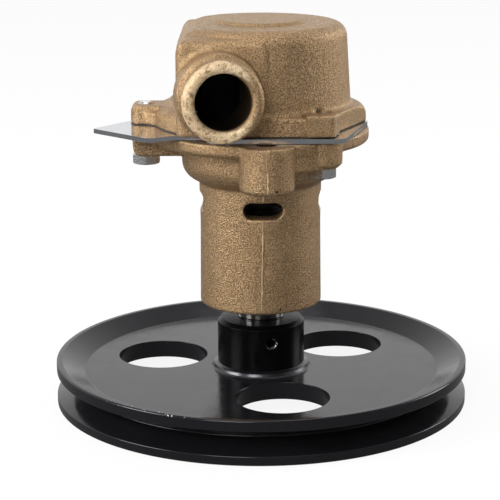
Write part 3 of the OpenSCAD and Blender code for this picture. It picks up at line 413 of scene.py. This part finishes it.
def cast_bronze():
    """Sand-cast bronze, with painted shade in the ports' bores, in hollows and in pores."""
    metallic = 0.8
    metallic_lost = 0.45
    roughness_lost = 0.12
    painted_shade_colour = (0.012, 0.009, 0.006)
    grain_size = 0.52 * MM
    grain_height = 0.33 * MM
    sheen_size = 3 * MM
    swell_size = 4 * MM
    swell_height = 0.12 * MM
    g = Finish("cast_bronze", metallic, roughness=0.45, colour=(0.4, 0.3, 0.18))
    grain = g.noise(grain_size, detail=2, roughness=0.7)
    outwards, across, away = beside_port(g)
    cast, worn, hollow_shade = cast_surface(g, grain)
    # Rubbed bronze with a painted highlight at the port mouths.
    mouth, rubbed_and_highlit = mouth_rub_and_highlight(g, grain, outwards, across)
    # Painted shade: the port's bore is coloured near black.
    bore = g.math("MULTIPLY", g.span(away, *BORE_EDGE_R), g.span(outwards, *BORE_END_Y))
    # Painted shade: hollows, bores and pores take a near black colour.
    dark = g.math("MAXIMUM", g.math("MAXIMUM", hollow_shade, bore), painted_pore_shade(g))
    g.set("Base Color", g.mix(dark, g.mix(rubbed_and_highlit, cast, mouth), painted_shade_colour))
    g.set("Metallic", g.math("SUBTRACT", metallic, g.math("MULTIPLY", rubbed_and_highlit, metallic_lost)))
    polish = g.math("MULTIPLY", g.math("MAXIMUM", worn, rubbed_and_highlit), roughness_lost)
    g.set("Roughness", g.math("SUBTRACT", g.spread(g.noise(sheen_size), 0.38, 0.5), polish))
    swell = g.bump(g.noise(swell_size, detail=2), swell_height)
    g.bump(grain, grain_height, swell)
    return g.material


def paint_chips(g):
    """How far the paint of the pulley's crest is chipped off."""
    flake_size = 1.3 * MM
    flake_span = (0.62, 0.65)
    x, y, z = g.axes(g.place)
    crest = g.math("MULTIPLY", g.span(g.length(x, y), *CREST_R), g.span(z, *CREST_Z))
    away = g.add("ShaderNodeVectorMath", operation="DISTANCE")
    g.feed(away.inputs[0], g.place)
    away.inputs[1].default_value = CHIPPED_SPOT
    near = g.span(away.outputs["Value"], *CHIPPED_REACH)
    flakes = g.span(g.noise(flake_size, detail=2), *flake_span)
    return g.math("MULTIPLY", crest, g.math("MULTIPLY", near, flakes))


def black_paint(name, shade, specular, smoothest, roughest):
    """Black paint on turned steel, with a little orange peel and a few chips on the pulley's crest."""
    dark = (shade, shade, 1.15 * shade)
    light = (1.9 * shade, 1.9 * shade, 2.15 * shade)
    bare_steel = (0.55, 0.53, 0.5)
    cold_shine = (0.93, 0.93, 1.0)
    cloud_size = 22 * MM
    sheen_size = 9 * MM
    peel_size = 1.3 * MM
    peel_height = 0.03 * MM
    g = Finish(name, metallic=0.0, roughness=0.25, colour=(shade, shade, shade))
    g.set("Specular IOR Level", specular)
    g.set("Specular Tint", cold_shine)
    painted = g.mix(g.noise(cloud_size), dark, light)
    g.set("Base Color", g.mix(paint_chips(g), painted, bare_steel))
    g.set("Roughness", g.spread(g.noise(sheen_size, detail=4), smoothest, roughest))
    g.bump(g.noise(peel_size, detail=2), peel_height)
    return g.material


def polished_sheet():
    """Polished stainless sheet with faint rubbing marks."""
    dark = (0.52, 0.53, 0.56)
    light = (0.68, 0.69, 0.72)
    along_y = (1, 0.06, 1)
    cloud_size = 9 * MM
    mark_size = 1 * MM
    mark_height = 0.01 * MM
    g = Finish("polished_sheet", metallic=1.0, roughness=0.12, colour=(0.78, 0.79, 0.82))
    marks = g.noise(mark_size, roughness=0.6, place=g.stretched(along_y))
    g.set("Base Color", g.mix(g.noise(cloud_size), dark, light))
    g.set("Roughness", g.spread(marks, 0.08, 0.2))
    g.bump(marks, mark_height)
    return g.material


def turned_steel(name, colour, mark_size):
    """Steel with fine marks round the piece."""
    dark = tuple(0.75 * c for c in colour)
    round_z = (0.15, 0.15, 1)
    cloud_size = 4 * MM
    mark_height = 0.012 * MM
    g = Finish(name, metallic=1.0, roughness=0.25, colour=colour)
    marks = g.noise(mark_size, detail=4, roughness=0.7, place=g.stretched(round_z))
    g.set("Base Color", g.mix(g.noise(cloud_size), dark, colour))
    g.set("Roughness", g.spread(marks, 0.16, 0.34))
    g.bump(marks, mark_height)
    return g.material


def shaft_steel():
    """Bright where the shaft shows, and darker with painted shade, and rougher, inside the housing."""
    bright = (0.26, 0.25, 0.24)
    inside_shade_colour = (0.02, 0.018, 0.017)
    inside_roughness = 0.55
    round_z = (0.15, 0.15, 1)
    mark_size = 0.5 * MM
    mark_height = 0.004 * MM
    g = Finish("shaft_steel", metallic=1.0, roughness=0.2, colour=bright)
    marks = g.noise(mark_size, detail=4, roughness=0.7, place=g.stretched(round_z))
    inside = g.span(g.axes(g.place)[2], *SHAFT_SHADE_Z)
    inside_dullness = g.math("MULTIPLY", inside, inside_roughness)
    # Painted shade: the shaft's colour goes near black inside the housing.
    g.set("Base Color", g.mix(inside, bright, inside_shade_colour))
    g.set("Roughness", g.math("MAXIMUM", g.spread(marks, 0.1, 0.2), inside_dullness))
    g.bump(marks, mark_height)
    return g.material


def turned_brass():
    """Brass with fine marks round the piece."""
    dark = (0.6, 0.42, 0.17)
    light = (0.78, 0.58, 0.27)
    round_z = (0.2, 0.2, 1)
    cloud_size = 5 * MM
    mark_size = 0.5 * MM
    mark_height = 0.01 * MM
    g = Finish("turned_brass", metallic=1.0, roughness=0.28, colour=(0.72, 0.52, 0.22))
    marks = g.noise(mark_size, roughness=0.6, place=g.stretched(round_z))
    g.set("Base Color", g.mix(g.noise(cloud_size), dark, light))
    g.set("Roughness", g.spread(marks, 0.2, 0.36))
    g.bump(marks, mark_height)
    return g.material


def black_rubber():
    """Matt moulded rubber."""
    dark = (0.008, 0.008, 0.009)
    light = (0.018, 0.018, 0.019)
    cloud_size = 6 * MM
    sheen_size = 2 * MM
    grain_size = 0.4 * MM
    grain_height = 0.02 * MM
    g = Finish("black_rubber", metallic=0.0, roughness=0.7, colour=(0.012, 0.012, 0.013))
    g.set("Specular IOR Level", 0.15)
    g.set("Base Color", g.mix(g.noise(cloud_size), dark, light))
    g.set("Roughness", g.spread(g.noise(sheen_size), 0.62, 0.8))
    g.bump(g.noise(grain_size), grain_height)
    return g.material


def gasket_paper():
    """Dark oiled paper."""
    dark = (0.03, 0.026, 0.022)
    light = (0.09, 0.08, 0.065)
    fibre_size = 0.5 * MM
    grain_size = 0.3 * MM
    grain_height = 0.03 * MM
    g = Finish("gasket_paper", metallic=0.0, roughness=0.8, colour=(0.05, 0.045, 0.04))
    g.set("Base Color", g.mix(g.noise(fibre_size, detail=4), dark, light))
    g.bump(g.noise(grain_size), grain_height)
    return g.material


def lapped(name, dark, light):
    """A lapped seal face."""
    cloud_size = 1.5 * MM
    sheen_size = 0.6 * MM
    g = Finish(name, metallic=0.0, roughness=0.2, colour=light)
    g.set("Base Color", g.mix(g.noise(cloud_size), dark, light))
    g.set("Roughness", g.spread(g.noise(sheen_size), 0.12, 0.25))
    return g.material


MATERIALS = {
    "cast_bronze": cast_bronze(),
    "black_paint": black_paint("black_paint", shade=0.004, specular=0.42, smoothest=0.12, roughest=0.2),
    # Painted shade: a darker, less glossy copy of the black paint, for the hub and its set screw.
    "shaded_hub_paint": black_paint("shaded_hub_paint", shade=0.0015, specular=0.1, smoothest=0.2, roughest=0.28),
    "weld_paint": black_paint("weld_paint", shade=0.003, specular=0.8, smoothest=0.2, roughest=0.3),
    "polished_steel": polished_sheet(),
    "bright_steel": turned_steel("turned_steel", colour=(0.5, 0.5, 0.52), mark_size=0.5 * MM),
    "shaft_steel": shaft_steel(),
    "thread_steel": turned_steel("thread_steel", colour=(0.4, 0.4, 0.4), mark_size=0.3 * MM),
    # Painted shade: a dark copy of the turned steel, for the seal cases inside the housing.
    "shaded_inner_steel": turned_steel("shaded_inner_steel", colour=(0.06, 0.057, 0.055), mark_size=0.5 * MM),
    "plated_steel": turned_steel("plated_steel", colour=(0.78, 0.77, 0.76), mark_size=0.4 * MM),
    "bearing_steel": turned_steel("bearing_steel", colour=(0.7, 0.71, 0.73), mark_size=0.3 * MM),
    "turned_brass": turned_brass(),
    "black_rubber": black_rubber(),
    "gasket": gasket_paper(),
    "seal_ceramic": lapped("seal_ceramic", dark=(0.74, 0.73, 0.7), light=(0.86, 0.85, 0.82)),
    "seal_carbon": lapped("seal_carbon", dark=(0.03, 0.03, 0.032), light=(0.07, 0.07, 0.075)),
}

# Nodes whose finish isn't the plain one of their slot
FINISH_OF_NODE = {
    "hub_weld": "weld_paint",
    "flange_screws": "plated_steel",
    "shaft": "shaft_steel",
    "lip_seal_case": "shaded_inner_steel",
    "seal_case": "shaded_inner_steel",
}


def finish_nodes():
    """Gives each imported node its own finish, or the material of its slot in the record."""
    for part in frame["record"]["subparts"]:
        mesh = NODES[part["node"]].data
        mesh.materials.clear()
        mesh.materials.append(MATERIALS[FINISH_OF_NODE.get(part["node"], part["material_slot"])])


# Ways to make pieces

def new_piece(name, mesh, material, body):
    mesh.materials.clear()
    mesh.materials.append(MATERIALS[material])
    piece = bpy.data.objects.new(name, mesh)
    bpy.context.scene.collection.objects.link(piece)
    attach(piece, body)
    return piece


def moved(node, place_of):
    """A copy of a node's mesh whose corners go where place_of puts them."""
    mesh = NODES[node].data.copy()
    for corner in mesh.vertices:
        corner.co = place_of(corner.co)
    return mesh


def mesh_of(shape, name):
    """The mesh of a finished bmesh, which is freed."""
    mesh = bpy.data.meshes.new(name)
    shape.to_mesh(mesh)
    shape.free()
    return mesh


def loft(shape, rings):
    """Adds a closed band to a bmesh, from ring to ring of its corners."""
    for one, two in zip(rings, rings[1:]):
        for i in range(len(one)):
            j = (i + 1) % len(one)
            shape.faces.new((one[i], one[j], two[j], two[i]))
    shape.faces.new(list(reversed(rings[0])))
    shape.faces.new(rings[-1])


def prism(shape, outline, low, high):
    """Adds a closed straight body with this outline to a bmesh."""
    loft(shape, [[shape.verts.new((x, y, z)) for x, y in outline] for z in (low, high)])


def break_edges(piece, width, angle=EDGE_ANGLE):
    """Small rounded edges on a machined piece, where its faces meet at more than angle."""
    weld = piece.modifiers.new("joined faces", "WELD")
    weld.merge_threshold = EDGE_WELD
    bevel = piece.modifiers.new("broken edges", "BEVEL")
    bevel.width = width
    bevel.segments = EDGE_SEGMENTS
    bevel.limit_method = "ANGLE"
    bevel.angle_limit = angle
    normals = piece.modifiers.new("even shading", "WEIGHTED_NORMAL")
    normals.keep_sharp = False


# Pulley

def open_groove(place):
    """Moves a corner of the groove's flanks from the frame's profile to the open one."""
    reach = math.hypot(place.x, place.y)
    off_mid = place.z - GROOVE_MID
    if abs(off_mid) < NEAR and reach < GROOVE_ROOT_R - NEAR:
        return Vector((place.x, place.y, OPEN_MID))
    if reach < GROOVE_ROOT_R - NEAR or abs(off_mid) > GROOVE_HALF + NEAR:
        return place.copy()
    share = (reach - GROOVE_ROOT_R) / (PULLEY_R - GROOVE_ROOT_R)
    new_reach = OPEN_ROOT_R + share * (PULLEY_R - OPEN_ROOT_R)
    if abs(off_mid) < NEAR:
        height = OPEN_MID
    elif off_mid > 0:
        height = OPEN_MID + OPEN_ROOT_HALF + share * (OPEN_LIPS[1] - OPEN_MID - OPEN_ROOT_HALF)
    else:
        height = OPEN_MID - OPEN_ROOT_HALF - share * (OPEN_MID - OPEN_ROOT_HALF - OPEN_LIPS[0])
    return Vector((place.x * new_reach / reach, place.y * new_reach / reach, height))


def pulley_rim():
    """Both discs as one piece, since the paint hides the joint between them."""
    shape = bmesh.new()
    for node in ("pulley_upper_disc", "pulley_lower_disc"):
        shape.from_mesh(moved(node, open_groove))
    joint = [f for f in shape.faces if all(abs(v.co.z - OPEN_MID) < NEAR for v in f.verts)]
    bmesh.ops.delete(shape, geom=joint, context="FACES")
    bmesh.ops.remove_doubles(shape, verts=shape.verts, dist=RIM_WELD)
    piece = new_piece("pulley_rim", mesh_of(shape, "pulley_rim"), "black_paint", "rotor")
    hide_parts("pulley_upper_disc", "pulley_lower_disc")
    break_edges(piece, RIM_EDGE, RIM_EDGE_ANGLE)


# Hub

def sharp_bore(place):
    """Narrows the chamfer round the hub's bore."""
    reach = math.hypot(place.x, place.y)
    if place.z < HUB_TOP - BORE_CHAMFER - NEAR or reach > SHAFT_R + BORE_CHAMFER + NEAR:
        return place.copy()
    kept = BORE_EDGE / BORE_CHAMFER
    new_reach = SHAFT_R + (reach - SHAFT_R) * kept
    height = HUB_TOP - (HUB_TOP - place.z) * kept
    return Vector((place.x * new_reach / reach, place.y * new_reach / reach, height))


def sunk_screw(place):
    """Shortens the set screw towards the shaft, so that it sits deep in its hole."""
    out = place.dot(SET_SCREW_WAY) - SHAFT_R
    return place - SET_SCREW_WAY * out * (1 - SET_SCREW_SHARE)


def hole_thread():
    """The turns of thread that show in the set screw's hole, as one band that winds inwards."""
    side = Vector((-SET_SCREW_WAY.y, SET_SCREW_WAY.x, 0))
    up = Vector((0, 0, 1))
    section = ((0, HOLE_R), (THREAD_FOOT / 2, HOLE_R - THREAD_DEPTH), (THREAD_FOOT, HOLE_R))
    shape = bmesh.new()
    rings = []
    for i in range(THREAD_TURNS * THREAD_SIDES + 1):
        turn = i / THREAD_SIDES
        angle = 2 * math.pi * turn
        spoke = side * math.cos(angle) + up * math.sin(angle)
        start = HUB_R - THREAD_INSET - turn * THREAD_PITCH
        ring = []
        for inwards, reach in section:
            centre = SET_SCREW_WAY * (start - inwards) + up * HOLE_Z
            ring.append(shape.verts.new(centre + spoke * reach))
        rings.append(ring)
    loft(shape, rings)
    bmesh.ops.recalc_face_normals(shape, faces=shape.faces)
    new_piece("hole_thread", mesh_of(shape, "hole_thread"), "thread_steel", "rotor")


def hub_pieces():
    """The hub and its sunk set screw, with the thread in its hole."""
    hub = new_piece("hub", moved("pulley_hub", sharp_bore), "shaded_hub_paint", "rotor")
    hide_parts("pulley_hub")
    break_edges(hub, HUB_EDGE)
    screw = new_piece("sunk_set_screw", moved("set_screw", sunk_screw), "shaded_hub_paint", "rotor")
    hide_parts("set_screw")
    hole_thread()


# Castings

def casting_skin(node, name, add=None):
    """One skin over a casting, with every edge and corner round, as sand and metal leave them."""
    shape = bmesh.new()
    shape.from_mesh(NODES[node].data)
    if add is not None:
        add(shape)
    piece = new_piece(name, mesh_of(shape, name), "cast_bronze", "casing")
    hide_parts(node)
    remesh = piece.modifiers.new("cast skin", "REMESH")
    remesh.mode = "VOXEL"
    remesh.voxel_size = CAST_VOXEL
    remesh.use_smooth_shade = True
    smooth = piece.modifiers.new("cast rounding", "SMOOTH")
    smooth.factor = SMOOTHING_FACTOR
    smooth.iterations = CAST_SMOOTHING
    skin = bpy.data.meshes.new_from_object(piece.evaluated_get(bpy.context.evaluated_depsgraph_get()))
    piece.modifiers.clear()
    piece.data = skin
    return piece


def nose_outline(side):
    """Outline of a lug's nose with two round corners; side is 1 for the front lug, -1 for the rear."""
    turns = [math.radians(90 / NOSE_STEPS * step) for step in range(1, NOSE_STEPS)]
    corner = [(NOSE_ROUND * (1 - math.cos(turn)), NOSE_ROUND * (1 - math.sin(turn))) for turn in turns]
    outline = [(NOSE_LEFT, NOSE_BACK), (NOSE_LEFT, NOSE_FRONT + NOSE_ROUND)]
    outline += [(NOSE_LEFT + x, NOSE_FRONT + y) for x, y in corner]
    outline += [(NOSE_RIGHT - x, NOSE_FRONT + y) for x, y in reversed(corner)]
    outline += [(NOSE_RIGHT, NOSE_FRONT + NOSE_ROUND), (NOSE_RIGHT, NOSE_BACK)]
    # the rear outline is mirrored and read backwards, so that its faces look outwards as well
    return [(x, side * y) for x, y in outline][::side]


def body_additions(shape):
    """Square noses on the body's two right lugs, and its flat left wall."""
    for side in (1, -1):
        prism(shape, nose_outline(side), BODY_BOTTOM, LUG_TOP)
    left_wall = (
        (LEFT_WALL_X, LEFT_WALL_HALF), (LEFT_WALL_X, -LEFT_WALL_HALF),
        (LEFT_WALL_BACK_X, -LEFT_WALL_BACK_HALF), (LEFT_WALL_BACK_X, LEFT_WALL_BACK_HALF))
    prism(shape, left_wall, LEFT_WALL_FOOT, BODY_TOP)


def round_shoulder(place):
    """Rounds the edge where the flat left wall meets the top."""
    across = (LEFT_WALL_X + SHOULDER_ACROSS - place.x) / SHOULDER_ACROSS
    up = (place.z - BODY_TOP + SHOULDER_DOWN) / SHOULDER_DOWN
    if across <= 0 or up <= 0:
        return place
    reach = math.hypot(across, up)
    if reach <= 1:
        return place
    x = LEFT_WALL_X + SHOULDER_ACROSS * (1 - across / reach)
    z = BODY_TOP - SHOULDER_DOWN * (1 - up / reach)
    return Vector((x, place.y, z))


def lifted_top(place):
    """Lifts the top of the body a little, as in the photograph."""
    share = min(1, max(0, (place.z - LIFT_FROM) / (BODY_TOP - LIFT_FROM)))
    return place + Vector((0, 0, LIFT * share))


def pump_body():
    """The upper casting."""
    piece = casting_skin("pump_body", "cast_pump_body", body_additions)
    skin = piece.data
    for corner in skin.vertices:
        corner.co = lifted_top(round_shoulder(corner.co))
    soft = [v.index for v in skin.vertices if v.co.x < SOFT_BEFORE_X and v.co.z > SOFT_ABOVE_Z]
    piece.vertex_groups.new(name="shoulder").add(soft, 1.0, "REPLACE")
    shoulder = piece.modifiers.new("soft shoulder", "SMOOTH")
    shoulder.factor = SMOOTHING_FACTOR
    shoulder.iterations = SOFT_PASSES
    shoulder.vertex_group = "shoulder"


def ridge_ring(shape, surface, middle, height, z):
    """Corners of the ridge's section, laid on the surface; fewer where the surface has a gap."""
    ring = []
    for across, rise in RIDGE_SECTION:
        x = middle + across * RIDGE_HALF
        hit = surface.ray_cast(Vector((x, RAY_START_Y, z)), Vector((0, 1, 0)))[0]
        if hit is not None:
            ring.append(shape.verts.new((x, hit.y - rise * height, z)))
    return ring


def parting_ridge(casting):
    """A low uneven ridge along the front of the housing, laid on its surface."""
    surface = BVHTree.FromObject(casting, bpy.context.evaluated_depsgraph_get())
    draw = random.Random(RIDGE_SEED)
    shape = bmesh.new()
    for low, high, x_low, x_high in RIDGE_PATH:
        rings = []
        count = int((high - low) / RIDGE_STEP)
        for i in range(count + 1):
            share = i / count
            middle = x_low + share * (x_high - x_low) + draw.uniform(-RIDGE_WANDER, RIDGE_WANDER)
            ends = min(1, RIDGE_RISE * share + RIDGE_END_HEIGHT, RIDGE_RISE * (1 - share) + RIDGE_END_HEIGHT)
            height = RIDGE_HEIGHT * draw.uniform(*RIDGE_UNEVEN) * ends
            ring = ridge_ring(shape, surface, middle, height, low + share * (high - low))
            if len(ring) == len(RIDGE_SECTION):
                rings.append(ring)
        loft(shape, rings)
    bmesh.ops.recalc_face_normals(shape, faces=shape.faces)
    mesh = mesh_of(shape, "parting_ridge")
    for face in mesh.polygons:
        face.use_smooth = True
    new_piece("parting_ridge", mesh, "cast_bronze", "casing")


# Studio

def camera():
    """The photograph's camera."""
    data = bpy.data.cameras.new("camera")
    data.sensor_width = SENSOR_WIDTH_MM
    data.lens = FOCAL_PIXELS / IMAGE_PIXELS * SENSOR_WIDTH_MM
    data.clip_start = CLIP_START
    data.clip_end = CLIP_END
    ahead = Vector((
        math.sin(CAMERA_YAW) * math.cos(CAMERA_PITCH),
        math.cos(CAMERA_YAW) * math.cos(CAMERA_PITCH),
        -math.sin(CAMERA_PITCH)))
    level_right = Vector((math.cos(CAMERA_YAW), -math.sin(CAMERA_YAW), 0))
    level_up = level_right.cross(ahead)
    turn = Matrix.Rotation(-CAMERA_ROLL, 3, ahead)
    right = turn @ level_right
    up = turn @ level_up
    piece = bpy.data.objects.new("camera", data)
    axes = Matrix((right, up, -ahead)).transposed().to_4x4()
    piece.matrix_world = Matrix.Translation(CAMERA_PLACE) @ axes
    bpy.context.scene.collection.objects.link(piece)
    bpy.context.scene.camera = piece


def lamp(name, place, size, power):
    """Soft square lamp that looks at the middle of the pump."""
    data = bpy.data.lights.new(name, "AREA")
    data.shape = "SQUARE"
    data.size = size
    data.energy = power
    piece = bpy.data.objects.new(name, data)
    piece.location = place
    piece.rotation_euler = (LAMP_TARGET - Vector(place)).to_track_quat("-Z", "Y").to_euler()
    bpy.context.scene.collection.objects.link(piece)


def world():
    """White walls behind and at the sides, a dimmer ceiling and a dark front; white for the camera."""
    room = bpy.data.worlds.new("studio")
    bpy.context.scene.world = room
    room.use_nodes = True
    g = NodeTree(room.node_tree)
    output = g.add("ShaderNodeOutputWorld")
    background = g.add("ShaderNodeBackground")
    seen = g.add("ShaderNodeLightPath").outputs["Is Camera Ray"]
    x, y, z = g.axes(g.add("ShaderNodeTexCoord").outputs["Generated"])
    back = g.math("MULTIPLY", g.span(y, *BACK_WALL), g.span(z, *BACK_WALL_FADE))
    sides = g.math("MAXIMUM", g.span(x, *LEFT_SIDE), g.span(x, *RIGHT_SIDE))
    walls = g.math("MAXIMUM", g.math("MAXIMUM", back, g.span(z, *CEILING)), sides)
    front = g.math("MULTIPLY", g.span(y, *FRONT), g.span(x, *FRONT_FADE))
    lit = g.math("MAXIMUM", walls, front)
    g.feed(background.inputs["Color"], WHITE)
    g.feed(background.inputs["Strength"], g.math("MAXIMUM", lit, seen))
    g.feed(output.inputs["Surface"], background.outputs[0])


def floor_material():
    """White that glows for the camera, takes a soft shadow, and is dim in what mirrors it."""
    material = bpy.data.materials.new("floor")
    material.use_nodes = True
    g = NodeTree(material.node_tree)
    output = g.add("ShaderNodeOutputMaterial")
    path = g.add("ShaderNodeLightPath")
    paint = g.add("ShaderNodeBsdfDiffuse")
    glow = g.add("ShaderNodeEmission")
    mirrored = g.add("ShaderNodeEmission")
    g.feed(paint.inputs["Color"], FLOOR_COLOUR)
    g.feed(mirrored.inputs["Strength"], FLOOR_MIRRORED)
    glowing = g.math("MULTIPLY", path.outputs["Is Camera Ray"], FLOOR_GLOW)
    seen = g.blend(glowing, paint.outputs[0], glow.outputs[0])
    surface = g.blend(path.outputs["Is Glossy Ray"], seen, mirrored.outputs[0])
    g.feed(output.inputs["Surface"], surface)
    return material


def floor():
    """Flat floor under the pulley."""
    mesh = bpy.data.meshes.new("floor")
    corners = [(x * FLOOR_HALF, y * FLOOR_HALF, 0) for x, y in ((-1, -1), (1, -1), (1, 1), (-1, 1))]
    mesh.from_pydata(corners, [], [(0, 1, 2, 3)])
    mesh.materials.append(floor_material())
    piece = bpy.data.objects.new("floor", mesh)
    bpy.context.scene.collection.objects.link(piece)


def studio():
    """Light, floor and camera."""
    bpy.context.scene.view_settings.view_transform = "Standard"
    world()
    floor()
    for name, place, size, power in LAMPS:
        lamp(name, place, size, power)
    camera()


finish_nodes()
pump_body()
parting_ridge(casting_skin("bearing_housing", "cast_housing"))
pulley_rim()
hub_pieces()
for node, width in EDGE_OF_NODE.items():
    break_edges(NODES[node], width)
studio()
